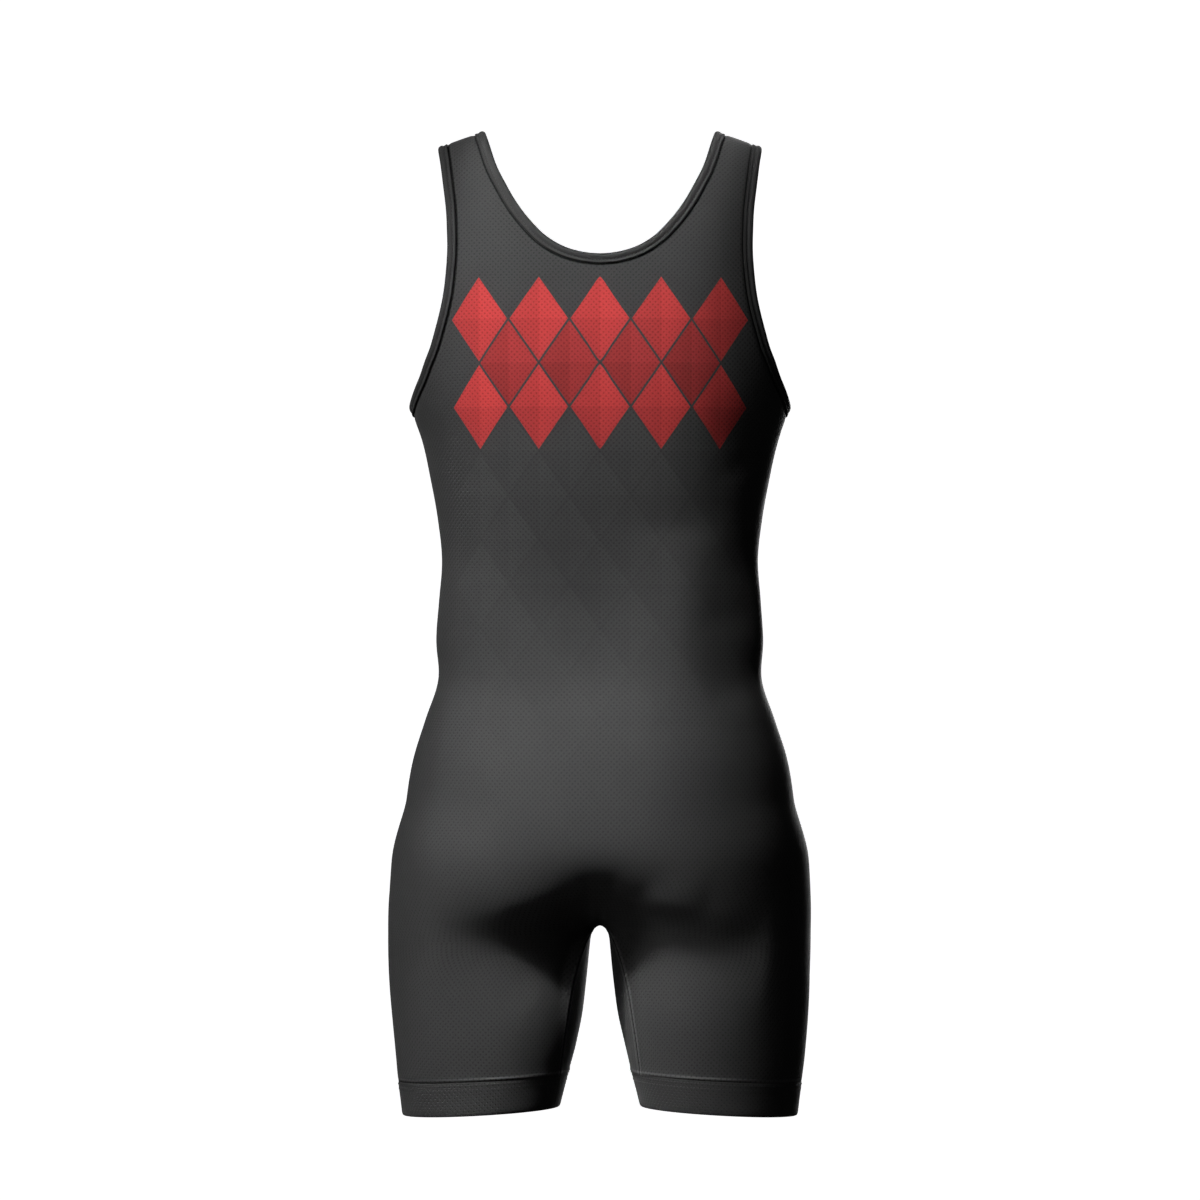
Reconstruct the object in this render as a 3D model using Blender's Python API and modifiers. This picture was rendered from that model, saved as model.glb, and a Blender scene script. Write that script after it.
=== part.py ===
"""A wrestling singlet, hollow and filled out as it is when it is worn.

Frame: metres, +Z up. The front faces -Y and the wearer's left is +X. The origin lies midway
between the two shoulder straps, at the height where they rest on the shoulders.

One smooth closed form, a trunk with two thighs, stands for the space inside the garment.
Every panel and binding lies on it: the curves of the cut edges are settled onto the form,
each panel is a grid of rows drawn between its seams, and the walls are then thickened.
"""

import math

import bmesh
import bpy
import numpy as np


def table(names, *rows):
    """A table as named columns; each row is one section or one point."""
    return dict(zip(names.split(), np.array(rows).T))


# Cloth and seams.
PANEL_WALL = 0.0016
BAND_WALL = 0.0021
BAND_PROUD = 0.0003
BINDING_WIDTH = 0.0090
BINDING_THICKNESS = 0.0026
BINDING_SQUARENESS = 3.2
SEAM_GAP = 0.00045

# The trunk, from the shoulders down: a squared oval at each height.
TRUNK = table(
    "height half_width back front",
    (0.020, 0.1750, 0.096, 0.100),
    (-0.100, 0.1755, 0.099, 0.108),
    (-0.150, 0.1745, 0.100, 0.114),
    (-0.200, 0.1695, 0.099, 0.118),
    (-0.228, 0.1630, 0.097, 0.119),
    (-0.256, 0.1530, 0.093, 0.119),
    (-0.290, 0.1455, 0.087, 0.117),
    (-0.325, 0.1392, 0.079, 0.112),
    (-0.360, 0.1355, 0.072, 0.107),
    (-0.395, 0.1378, 0.067, 0.104),
    (-0.428, 0.1402, 0.066, 0.102),
    (-0.463, 0.1390, 0.070, 0.101),
    (-0.497, 0.1500, 0.083, 0.101),
    (-0.531, 0.1605, 0.096, 0.100),
    (-0.566, 0.1664, 0.105, 0.099),
    (-0.583, 0.1682, 0.108, 0.099),
    (-0.600, 0.1680, 0.109, 0.098),
    (-0.620, 0.1666, 0.109, 0.098),
    (-0.640, 0.1642, 0.108, 0.097),
    (-0.680, 0.1600, 0.105, 0.096),
)
TRUNK_SQUARENESS = 2.4

# One thigh, the wearer's left: an oval round its own axis at each height.
THIGH = table(
    "height axis half_width back front",
    (-0.560, 0.0860, 0.0700, 0.080, 0.080),
    (-0.620, 0.0875, 0.0845, 0.091, 0.092),
    (-0.655, 0.0915, 0.0875, 0.090, 0.093),
    (-0.686, 0.0946, 0.0864, 0.087, 0.091),
    (-0.721, 0.0963, 0.0843, 0.084, 0.088),
    (-0.752, 0.0972, 0.0813, 0.081, 0.085),
    (-0.772, 0.0985, 0.0783, 0.079, 0.083),
    (-0.800, 0.1007, 0.0736, 0.076, 0.080),
    (-0.827, 0.1024, 0.0684, 0.073, 0.076),
    (-0.840, 0.1030, 0.0665, 0.072, 0.075),
)
THIGH_SQUARENESS = 2.1

# How the ovals close into domes, at the shoulders, under the seat and inside the trunk.
DOME_SQUARENESS = 2.3
SHOULDER_START = -0.250
SHOULDER_HALF = 0.175
RIDGE_PEAK = 0.0233
RIDGE_FALL = 1.534
SEAT_START = -0.595
SEAT_END = -0.664
SEAT_ARCH = 2.5
THIGH_START = -0.620
THIGH_CAP = 0.060
SEAT_BLEND = 0.034
CROTCH_BLEND = 0.010
TRUNK_SCALE = 0.110
THIGH_SCALE = 0.085

# The free edge of the neck, from the middle of the back over the left shoulder to the front.
NECK_EDGE = table(
    "across behind up",
    (0.0000, 0.0872, -0.0997),
    (0.0250, 0.0859, -0.0957),
    (0.0450, 0.0821, -0.0851),
    (0.0605, 0.0761, -0.0695),
    (0.0718, 0.0693, -0.0541),
    (0.0815, 0.0603, -0.0368),
    (0.0887, 0.0508, -0.0219),
    (0.0955, 0.0300, -0.0010),
    (0.0989, 0.0000, 0.0083),
    (0.0965, -0.0310, 0.0000),
    (0.0915, -0.0530, -0.0220),
    (0.0875, -0.0640, -0.0390),
    (0.0810, -0.0760, -0.0635),
    (0.0715, -0.0870, -0.0900),
    (0.0590, -0.0975, -0.1190),
    (0.0430, -0.1062, -0.1450),
    (0.0225, -0.1110, -0.1620),
    (0.0000, -0.1125, -0.1680),
)
NECK_SHOULDER = 8

# The free edge of the left armhole, from under the arm up the back, over and down the front.
ARMHOLE_EDGE = table(
    "across behind up",
    (0.1630, -0.0080, -0.2283),
    (0.1618, 0.0241, -0.2225),
    (0.1554, 0.0471, -0.2061),
    (0.1492, 0.0574, -0.1893),
    (0.1431, 0.0635, -0.1724),
    (0.1346, 0.0675, -0.1384),
    (0.1308, 0.0644, -0.1042),
    (0.1308, 0.0585, -0.0780),
    (0.1327, 0.0496, -0.0524),
    (0.1370, 0.0290, -0.0195),
    (0.1390, 0.0000, -0.0063),
    (0.1360, -0.0290, -0.0170),
    (0.1300, -0.0469, -0.0370),
    (0.1250, -0.0604, -0.0620),
    (0.1205, -0.0717, -0.0900),
    (0.1195, -0.0799, -0.1180),
    (0.1240, -0.0842, -0.1470),
    (0.1340, -0.0814, -0.1740),
    (0.1450, -0.0721, -0.1960),
    (0.1550, -0.0551, -0.2130),
    (0.1615, -0.0320, -0.2250),
    (0.1630, -0.0080, -0.2283),
)
ARMHOLE_SHOULDER = 10

# The inseam of the left leg, from the crotch down the back of the inner thigh.
INSEAM = table(
    "across behind up",
    (0.0000, 0.0000, -0.6740),
    (0.0115, 0.0260, -0.6850),
    (0.0206, 0.0400, -0.7100),
    (0.0262, 0.0440, -0.7350),
    (0.0310, 0.0420, -0.7700),
    (0.0345, 0.0353, -0.8010),
)
SIDE_SEAM_BEHIND = -0.010
SIDE_AT_CROTCH = -0.692

# The leg bands, which lie square to the thighs and so are a little lower at the outside.
BAND_TOP = -0.8035
HEM = -0.8325
BAND_TILT = 0.055
BAND_AXIS = 0.101

# The panels' grids: rows up the leg, the trunk and the armhole, of which the last go up the neck
# too, and columns from the middle or the inseam out to the side. A lean draws them closer together.
LEG_ROWS = 7
LEG_LEAN = 0.65
CROTCH_ROWS = 7
ROW_LEAN = -0.60
TRUNK_ROWS = 22
CENTRE_LEAN = -0.40
ARM_ROWS = 24
ARMHOLE_LEAN = 0.30
NECK_ROWS = 18
NECK_LEAN = -0.25
COLUMNS = 11
NARROW_SHARE = 0.14
RELAX_ROUNDS = 40

# The bands' and bindings' grids.
BAND_STEPS = 26
BAND_ROWS = 2
BINDING_SIDES = 8

# How finely lines are drawn, and how points are moved onto the form.
DENSE = 12
EVEN_SAMPLES = 8
SETTLE_STEPS = 6
LONGEST_STEP = 0.020
NUDGE = 1e-4

BACK = 1
FRONT = -1


def read(rows, name, height):
    """A column at any height: a smooth curve through the rows, held beyond the ends."""
    down = -rows["height"]
    values = rows[name]
    at = np.clip(-height, down[0], down[-1])
    slopes = np.gradient(values, down)
    row = np.clip(np.searchsorted(down, at) - 1, 0, len(down) - 2)
    span = down[row + 1] - down[row]
    t = (at - down[row]) / span
    rise = values[row + 1] - values[row]
    start, end = span * slopes[row], span * slopes[row + 1]
    return values[row] + start * t + (3 * rise - 2 * start - end) * t**2 + (start + end - 2 * rise) * t**3


def power_sum(squareness, *terms):
    """The length of the terms taken together, rounder at 2 and squarer above it."""
    return sum(term**squareness for term in terms) ** (1 / squareness)


def smooth_least(a, b, reach):
    """The lesser of two values, rounded off where they come within reach of each other."""
    near = np.maximum(reach - np.abs(a - b), 0) / reach
    return np.minimum(a, b) - near**2 * reach / 4


def shoulder_crown(x):
    """The height of the dome over each x, such that its ridge at y = 0 has the shoulders' slope."""
    ridge = RIDGE_PEAK - RIDGE_FALL * x**2
    aside = np.minimum(x / SHOULDER_HALF, 0.9)
    shrink = (1 - aside**DOME_SQUARENESS) ** (1 / DOME_SQUARENESS)
    return SHOULDER_START + (ridge - SHOULDER_START) / shrink


def trunk(x, y, z):
    """About the distance outside the trunk, less than zero inside it."""
    x = np.abs(x)
    depth = np.where(y > 0, read(TRUNK, "back", z), read(TRUNK, "front", z))
    oval = power_sum(TRUNK_SQUARENESS, x / read(TRUNK, "half_width", z), np.abs(y) / depth)
    rise = np.maximum(z - SHOULDER_START, 0) / (shoulder_crown(x) - SHOULDER_START)
    fall = np.maximum(SEAT_START - z, 0) / (SEAT_START - SEAT_END + SEAT_ARCH * x**2)
    return TRUNK_SCALE * (power_sum(DOME_SQUARENESS, oval, rise + fall) - 1)


def thigh(x, y, z):
    """About the distance outside the left thigh, less than zero inside it."""
    aside = np.abs(x - read(THIGH, "axis", z)) / read(THIGH, "half_width", z)
    depth = np.where(y > 0, read(THIGH, "back", z), read(THIGH, "front", z))
    oval = power_sum(THIGH_SQUARENESS, aside, np.abs(y) / depth)
    rise = np.maximum(z - THIGH_START, 0) / THIGH_CAP
    return THIGH_SCALE * (power_sum(DOME_SQUARENESS, oval, rise) - 1)


def form(points):
    """About the distance outside the whole form."""
    x, y, z = np.moveaxis(points, -1, 0)
    thighs = smooth_least(thigh(x, y, z), thigh(-x, y, z), CROTCH_BLEND)
    return smooth_least(trunk(x, y, z), thighs, SEAT_BLEND)


def slope_of_form(points):
    """The form's gradient, by central differences."""
    steps = np.eye(3) * NUDGE
    return np.stack([(form(points + step) - form(points - step)) / (2 * NUDGE) for step in steps], -1)


def settle(points, level=False, steps=SETTLE_STEPS):
    """Moves points onto the form, in steps of LONGEST_STEP at most; level keeps their heights."""
    for _ in range(steps):
        slope = slope_of_form(points)
        if level:
            slope = slope * (1, 1, 0)
        steepness = np.linalg.norm(slope, axis=-1)
        away = np.clip(form(points) / steepness, -LONGEST_STEP, LONGEST_STEP)
        points = points - slope * (away / steepness)[..., None]
    return points


def unit(vectors):
    return vectors / np.linalg.norm(vectors, axis=-1, keepdims=True)


def normals(points):
    return unit(slope_of_form(points))


def points_of(rows):
    return np.stack([rows["across"], rows["behind"], rows["up"]], -1)


def smooth_line(points, before, after):
    """A smooth line through the points, DENSE steps to a span; before and after lie past its ends."""
    around = np.vstack([before, points, after])
    slopes = (around[2:] - around[:-2]) / 2
    t = (np.arange(DENSE) / DENSE)[:, None]
    spans = [
        a + start * t + (3 * (b - a) - 2 * start - end) * t**2 + (start + end - 2 * (b - a)) * t**3
        for a, b, start, end in zip(points, points[1:], slopes, slopes[1:])
    ]
    return settle(np.vstack([*spans, points[-1:]]))


def even(line, steps, lean=0):
    """The line resampled along its length: to even steps, or to closer ones at its end if lean > 0."""
    lengths = np.append(0, np.cumsum(np.linalg.norm(np.diff(line, axis=0), axis=1)))
    share = np.linspace(0, 1, steps + 1)
    at = lengths[-1] * (share + lean * share * (1 - share))
    return np.stack([np.interp(at, lengths, line[:, axis]) for axis in range(3)], -1)


def mirrored(points):
    return points * (-1, 1, 1)


def neck_loop():
    """The neck's free edge as a closed loop: back middle, left shoulder, front middle, right."""
    rows = points_of(NECK_EDGE)
    line = smooth_line(rows, mirrored(rows[1:2]), mirrored(rows[-2:-1]))
    shoulder = NECK_SHOULDER * DENSE
    back = even(line[: shoulder + 1], NECK_ROWS, NECK_LEAN)
    front = even(line[shoulder:], NECK_ROWS, -NECK_LEAN)
    left = np.vstack([back[:-1], front])
    return settle(np.vstack([left, mirrored(left[-2:0:-1])]))


def armhole_loop():
    """The left armhole's free edge as a closed loop: underarm, back, shoulder, front."""
    rows = points_of(ARMHOLE_EDGE)
    line = smooth_line(rows, rows[-2:-1], rows[1:2])
    shoulder = ARMHOLE_SHOULDER * DENSE
    back = even(line[: shoulder + 1], ARM_ROWS, ARMHOLE_LEAN)
    front = even(line[shoulder:], ARM_ROWS, -ARMHOLE_LEAN)
    return settle(np.vstack([back[:-1], front[:-1]]))


def loop_sideways(loop, toward):
    """At each point of a closed loop, the direction along the form that leads into the cloth."""
    tangents = unit(np.roll(loop, -1, axis=0) - np.roll(loop, 1, axis=0))
    return toward * np.cross(normals(loop), tangents)


def beside(loop, toward, distance):
    """The closed loop moved into the cloth by a distance along the form."""
    return settle(loop + distance * loop_sideways(loop, toward))


def inseam_line():
    rows = points_of(INSEAM)[::-1]
    line = smooth_line(rows, 2 * rows[:1] - rows[1:2], mirrored(rows[-2:-1]))
    return even(line, LEG_ROWS, LEG_LEAN)


def side_line(underarm):
    """The side seam, from the leg band to the underarm."""
    share = np.linspace(0, 1, LEG_ROWS + 1)
    leg = BAND_TOP + (SIDE_AT_CROTCH - BAND_TOP) * (share + LEG_LEAN * share * (1 - share))
    heights = np.append(leg, np.linspace(SIDE_AT_CROTCH, underarm[2], TRUNK_ROWS + 1)[1:])
    behind = np.full_like(heights, SIDE_SEAM_BEHIND)
    behind[-2:] = (SIDE_SEAM_BEHIND + underarm[1]) / 2, underarm[1]
    guide = np.stack([np.full_like(heights, underarm[0]), behind, heights], -1)
    return settle(guide, level=True)


def centre_line(side, neck_middle):
    """The middle of the back or the front, from the crotch up to the neck binding."""
    turns = np.linspace(0, math.pi / 2, DENSE)
    depth = side * read(TRUNK, "back" if side == BACK else "front", np.array(SEAT_START))
    under = np.stack(
        [0 * turns, depth * np.sin(turns), SEAT_START - (SEAT_START - SEAT_END) * np.cos(turns)], -1
    )
    heights = np.linspace(SEAT_START, neck_middle[2], 5 * DENSE)[1:]
    above = np.stack([0 * heights, np.full_like(heights, depth), heights], -1)
    line = np.vstack([settle(under), settle(above, level=True)[:-1], [neck_middle]])
    return even(line, TRUNK_ROWS + ARM_ROWS - NECK_ROWS, CENTRE_LEAN)


def seam_margin(line, side, ahead=None):
    """A seam's line moved half the gap to the back or the front of it, along the form."""
    after = line[-1:] if ahead is None else ahead
    around = np.vstack([line[:1], line, after])
    sideways = np.cross(unit(around[2:] - around[:-2]), normals(line))
    sideways *= side * np.sign(sideways[:, 1:2])
    return line + sideways * SEAM_GAP / 2


def hem_tilt(points, height):
    """The same points with their heights on the tilted plane of a band's edge."""
    points = points.copy()
    points[..., 2] = height - BAND_TILT * (points[..., 0] - BAND_AXIS)
    return points


def arc_row(inner, outer, axis, side, lean):
    """A row of a panel: round the given axis from its inner to its outer end."""
    ends = np.array([inner, outer])
    across, away = ends[:, 0] - axis, side * ends[:, 1]
    turn = np.arctan2(away, across)
    turn = np.where(turn < -math.pi / 2, turn + 2 * math.pi, turn)
    radius = np.hypot(across, away)
    t = np.linspace(0, 1, COLUMNS * EVEN_SAMPLES + 1)
    turns, radii, heights = (pair[0] + (pair[1] - pair[0]) * t for pair in (turn, radius, ends[:, 2]))
    guide = np.stack([axis + radii * np.cos(turns), side * radii * np.sin(turns), heights], -1)
    row = even(settle(guide), COLUMNS, lean)
    row[0], row[-1] = inner, outer
    return row


def relax(grid):
    """Evens out the upper part of a panel's grid on the form. Its cut edges stay where they are."""
    held = np.zeros((len(grid) - 2, COLUMNS, 1), bool)
    held[-NECK_ROWS:, 0] = True
    for round_left in reversed(range(RELAX_ROUNDS)):
        wide = np.concatenate([mirrored(grid[:, 1:2]), grid], axis=1)
        middle = (wide[:-2, 1:-1] + wide[2:, 1:-1] + wide[1:-1, :-2] + wide[1:-1, 2:]) / 4
        middle = settle(middle, steps=1 if round_left else SETTLE_STEPS)
        grid[1:-1, :-1] = np.where(held, grid[1:-1, :-1], middle)
    return grid


def with_narrow_columns(grid):
    """Adds a column next to each side, narrow along a seam, where the wall's edge must stand square."""
    rows = np.arange(len(grid))
    crotch, underarm = LEG_ROWS, LEG_ROWS + TRUNK_ROWS
    inner_share = np.interp(rows, (crotch, crotch + CROTCH_ROWS), (NARROW_SHARE, 0.5))[:, None]
    outer_share = np.interp(rows, (underarm + 4, underarm + 10), (NARROW_SHARE, 0.5))[:, None]
    inner = settle(grid[:, 0] + inner_share * (grid[:, 1] - grid[:, 0]))
    outer = settle(grid[:, -1] + outer_share * (grid[:, -2] - grid[:, -1]))
    return np.concatenate([grid[:, :1], inner[:, None], grid[:, 1:-1], outer[:, None], grid[:, -1:]], 1)


def panel_grid(side, inseam, side_seam, neck_seam, arm_seam):
    """The left half of the back or front panel, as rows from the leg band up to the shoulder."""
    crotch_next = mirrored(inseam[-2:-1])
    inner_leg = seam_margin(inseam, side, crotch_next)
    inner_leg[-1] = (0, side * SEAM_GAP, inner_leg[-1, 2])
    outer_side = seam_margin(side_seam, side)
    middle = centre_line(side, neck_seam[0])
    inner = np.vstack([inner_leg, middle[1:], neck_seam[1:]])
    outer = np.vstack([outer_side[:-1], arm_seam])
    outer[len(side_seam) - 1] = outer_side[-1]
    rows = np.arange(len(inner))
    crotch, level = LEG_ROWS, LEG_ROWS + CROTCH_ROWS
    axes = read(THIGH, "axis", inner[:, 2]) * np.interp(rows, (crotch, level), (1, 0))
    leans = ROW_LEAN * np.interp(rows, (0, crotch, level), (0.5, 1, 0))
    grid = np.array([arc_row(a, b, x, side, lean) for a, b, x, lean in zip(inner, outer, axes, leans)])
    grid[level:] = relax(grid[level:])
    grid = with_narrow_columns(grid)
    bottom = BAND_TOP + SEAM_GAP / 2
    grid[0] = hem_tilt(settle(hem_tilt(grid[0], bottom), level=True), bottom)
    grid[-1, :, 1] += side * SEAM_GAP / 2
    return grid


def finish(name, colour, roughness):
    material = bpy.data.materials.new(name)
    material.use_nodes = True
    shader = material.node_tree.nodes["Principled BSDF"]
    shader.inputs["Base Color"].default_value = (*colour, 1)
    shader.inputs["Roughness"].default_value = roughness
    shader.inputs["Metallic"].default_value = 0
    material.diffuse_color = (*colour, 1)
    return material


def lofted(name, rows, material, outward, closed_rows=False, closed_columns=False):
    """A mesh object of four-sided faces between rows of points; outward is 1 or -1."""
    shape = bmesh.new()
    verts = [[shape.verts.new(point) for point in row] for row in rows]
    for r in range(len(verts) - (not closed_rows)):
        low, high = verts[r], verts[(r + 1) % len(verts)]
        for c in range(len(low) - (not closed_columns)):
            d = (c + 1) % len(low)
            shape.faces.new([low[c], high[c], high[d], low[d]][::outward])
    mesh = bpy.data.meshes.new(name)
    shape.to_mesh(mesh)
    shape.free()
    mesh.shade_smooth()
    mesh.materials.append(material)
    piece = bpy.data.objects.new(name, mesh)
    bpy.context.collection.objects.link(piece)
    return piece


def thicken(piece, thickness):
    """Gives the surface a wall on its inner side."""
    wall = piece.modifiers.new("wall", "SOLIDIFY")
    wall.thickness = thickness
    wall.offset = -1
    wall.use_even_offset = True


def make_panel(name, grid, side, material):
    """One whole panel: its left half, mirrored in the middle and thickened inward."""
    piece = lofted(name, grid, material, outward=side)
    mirror = piece.modifiers.new("right half", "MIRROR")
    mirror.merge_threshold = 1e-5
    thicken(piece, PANEL_WALL)


def binding_section():
    """The binding across and out of the cloth, a flat rounded section."""
    turns = (np.arange(BINDING_SIDES) + 0.5) * 2 * math.pi / BINDING_SIDES
    power = 2 / BINDING_SQUARENESS
    across = np.sign(np.cos(turns)) * np.abs(np.cos(turns)) ** power
    out = np.sign(np.sin(turns)) * np.abs(np.sin(turns)) ** power
    across *= BINDING_WIDTH / 2 / across.max()
    out *= BINDING_THICKNESS / 2 / out.max()
    return across, out


def binding_rows(loop, toward):
    """The binding's sections along a free edge, centred on the panel's wall."""
    across, out = binding_section()
    sideways, away = loop_sideways(loop, toward), normals(loop)
    middle = loop + sideways * BINDING_WIDTH / 2
    away_middle = normals(settle(middle))
    middle = settle(middle) - away_middle * PANEL_WALL / 2
    sideways = unit(sideways - away_middle * (sideways * away_middle).sum(-1, keepdims=True))
    return middle[:, None] + sideways[:, None] * across[:, None] + away_middle[:, None] * out[:, None]


def band_rows():
    """The left leg band's outer surface, from its hem up to the panels."""
    turns = np.arange(BAND_STEPS) * 2 * math.pi / BAND_STEPS
    rows = []
    for height in np.linspace(HEM, BAND_TOP - SEAM_GAP / 2, BAND_ROWS + 1):
        half = read(THIGH, "half_width", np.array(height))
        guide = np.stack(
            [BAND_AXIS + half * np.cos(turns), half * np.sin(turns), np.full_like(turns, height)], -1
        )
        ring = hem_tilt(settle(hem_tilt(guide, height), level=True), height)
        rows.append(ring + BAND_PROUD * unit(normals(ring) * (1, 1, 0)))
    return np.array(rows)


def clear_scene():
    for old in list(bpy.data.objects):
        bpy.data.objects.remove(old)


def main():
    clear_scene()
    group = bpy.data.collections.new("wrestling_singlet")
    bpy.context.scene.collection.children.link(group)
    bpy.context.view_layer.active_layer_collection = bpy.context.view_layer.layer_collection.children[
        group.name
    ]

    charcoal = (0.040, 0.040, 0.042)
    back_cloth = finish("back_panel_knit", charcoal, 0.80)
    front_cloth = finish("front_panel_knit", charcoal, 0.80)
    neck_cloth = finish("neck_binding_knit", (0.028, 0.028, 0.030), 0.70)
    arm_cloth = finish("armhole_binding_knit", (0.028, 0.028, 0.030), 0.70)
    band_cloth = finish("leg_band_knit", (0.036, 0.036, 0.038), 0.80)

    neck = neck_loop()
    armhole = armhole_loop()
    neck_seam = beside(neck, 1, BINDING_WIDTH + SEAM_GAP)
    arm_seam = beside(armhole, -1, BINDING_WIDTH + SEAM_GAP)
    inseam = inseam_line()
    side_seam = side_line(arm_seam[0])

    back_neck = neck_seam[: NECK_ROWS + 1]
    front_neck = neck_seam[NECK_ROWS : 2 * NECK_ROWS + 1][::-1]
    back_arm = arm_seam[: ARM_ROWS + 1]
    front_arm = np.vstack([arm_seam[:1], arm_seam[: ARM_ROWS - 1 : -1]])
    back = panel_grid(BACK, inseam, side_seam, back_neck, back_arm)
    front = panel_grid(FRONT, inseam, side_seam, front_neck, front_arm)
    make_panel("back_panel", back, BACK, back_cloth)
    make_panel("front_panel", front, FRONT, front_cloth)

    lofted("neck_binding", binding_rows(neck, 1), neck_cloth, -1, True, True)
    arm_sections = binding_rows(armhole, -1)
    lofted("armhole_binding_left", arm_sections, arm_cloth, 1, True, True)
    lofted("armhole_binding_right", mirrored(arm_sections), arm_cloth, -1, True, True)

    bands = band_rows()
    thicken(lofted("leg_band_left", bands, band_cloth, -1, False, True), BAND_WALL)
    thicken(lofted("leg_band_right", mirrored(bands), band_cloth, 1, False, True), BAND_WALL)


main()
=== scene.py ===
"""The looks of the wrestling singlet: knit cloth, bindings, hems and sewing, in a plain studio.

The cloth lies on the same smooth form as the solids: a trunk and two thighs. The tables of that
form and of the cut edges are the part's own, and the rest is built on them. Sizes are in metres
unless a comment says otherwise.
"""

import math

import bpy
import numpy as np
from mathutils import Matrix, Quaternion, Vector


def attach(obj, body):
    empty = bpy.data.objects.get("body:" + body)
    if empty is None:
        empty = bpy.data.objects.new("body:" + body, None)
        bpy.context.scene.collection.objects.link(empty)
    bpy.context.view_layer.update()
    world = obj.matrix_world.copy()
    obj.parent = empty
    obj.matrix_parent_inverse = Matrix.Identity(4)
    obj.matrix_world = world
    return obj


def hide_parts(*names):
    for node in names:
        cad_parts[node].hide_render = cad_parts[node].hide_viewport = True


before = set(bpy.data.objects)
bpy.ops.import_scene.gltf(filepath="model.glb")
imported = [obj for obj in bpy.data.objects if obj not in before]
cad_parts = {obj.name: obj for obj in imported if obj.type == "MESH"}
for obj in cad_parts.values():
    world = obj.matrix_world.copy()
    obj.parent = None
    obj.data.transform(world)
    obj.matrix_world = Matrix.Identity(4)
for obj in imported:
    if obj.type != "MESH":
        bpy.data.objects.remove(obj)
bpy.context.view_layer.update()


MILLIMETRES = 1000


def table(names, *rows, parts=1):
    """A table as named columns, in parts of a metre; each row is one section, point or feature."""
    return dict(zip(names.split(), np.array(rows).T / parts))


# ---------------- the form and the cut edges

TRUNK = table(
    "height half_width back front",
    (0.020, 0.1750, 0.096, 0.100),
    (-0.100, 0.1755, 0.099, 0.108),
    (-0.150, 0.1745, 0.100, 0.114),
    (-0.200, 0.1695, 0.099, 0.118),
    (-0.228, 0.1630, 0.097, 0.119),
    (-0.256, 0.1530, 0.093, 0.119),
    (-0.290, 0.1455, 0.087, 0.117),
    (-0.325, 0.1392, 0.079, 0.112),
    (-0.360, 0.1355, 0.072, 0.107),
    (-0.395, 0.1378, 0.067, 0.104),
    (-0.428, 0.1402, 0.066, 0.102),
    (-0.463, 0.1390, 0.070, 0.101),
    (-0.497, 0.1500, 0.083, 0.101),
    (-0.531, 0.1605, 0.096, 0.100),
    (-0.566, 0.1664, 0.105, 0.099),
    (-0.583, 0.1682, 0.108, 0.099),
    (-0.600, 0.1680, 0.109, 0.098),
    (-0.620, 0.1666, 0.109, 0.098),
    (-0.640, 0.1642, 0.108, 0.097),
    (-0.680, 0.1600, 0.105, 0.096),
)
TRUNK_SQUARENESS = 2.4
THIGH = table(
    "height axis half_width back front",
    (-0.560, 0.0860, 0.0700, 0.080, 0.080),
    (-0.620, 0.0875, 0.0845, 0.091, 0.092),
    (-0.655, 0.0915, 0.0875, 0.090, 0.093),
    (-0.686, 0.0946, 0.0864, 0.087, 0.091),
    (-0.721, 0.0963, 0.0843, 0.084, 0.088),
    (-0.752, 0.0972, 0.0813, 0.081, 0.085),
    (-0.772, 0.0985, 0.0783, 0.079, 0.083),
    (-0.800, 0.1007, 0.0736, 0.076, 0.080),
    (-0.827, 0.1024, 0.0684, 0.073, 0.076),
    (-0.840, 0.1030, 0.0665, 0.072, 0.075),
)
THIGH_SQUARENESS = 2.1
DOME_SQUARENESS = 2.3
SHOULDER_START = -0.250
SHOULDER_HALF = 0.175
CROWN_REACH = 0.9
RIDGE_PEAK = 0.0233
RIDGE_FALL = 1.534
SEAT_START = -0.595
SEAT_END = -0.664
SEAT_ARCH = 2.5
THIGH_START = -0.620
THIGH_CAP = 0.060
SEAT_BLEND = 0.034
CROTCH_BLEND = 0.010
TRUNK_SCALE = 0.110
THIGH_SCALE = 0.085

# The free edge of the neck, from the middle of the back over the left shoulder to the front.
NECK_EDGE = table(
    "across behind up",
    (0.0000, 0.0872, -0.0997),
    (0.0250, 0.0859, -0.0957),
    (0.0450, 0.0821, -0.0851),
    (0.0605, 0.0761, -0.0695),
    (0.0718, 0.0693, -0.0541),
    (0.0815, 0.0603, -0.0368),
    (0.0887, 0.0508, -0.0219),
    (0.0955, 0.0300, -0.0010),
    (0.0989, 0.0000, 0.0083),
    (0.0965, -0.0310, 0.0000),
    (0.0915, -0.0530, -0.0220),
    (0.0875, -0.0640, -0.0390),
    (0.0810, -0.0760, -0.0635),
    (0.0715, -0.0870, -0.0900),
    (0.0590, -0.0975, -0.1190),
    (0.0430, -0.1062, -0.1450),
    (0.0225, -0.1110, -0.1620),
    (0.0000, -0.1125, -0.1680),
)
NECK_SHOULDER = 8

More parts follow.
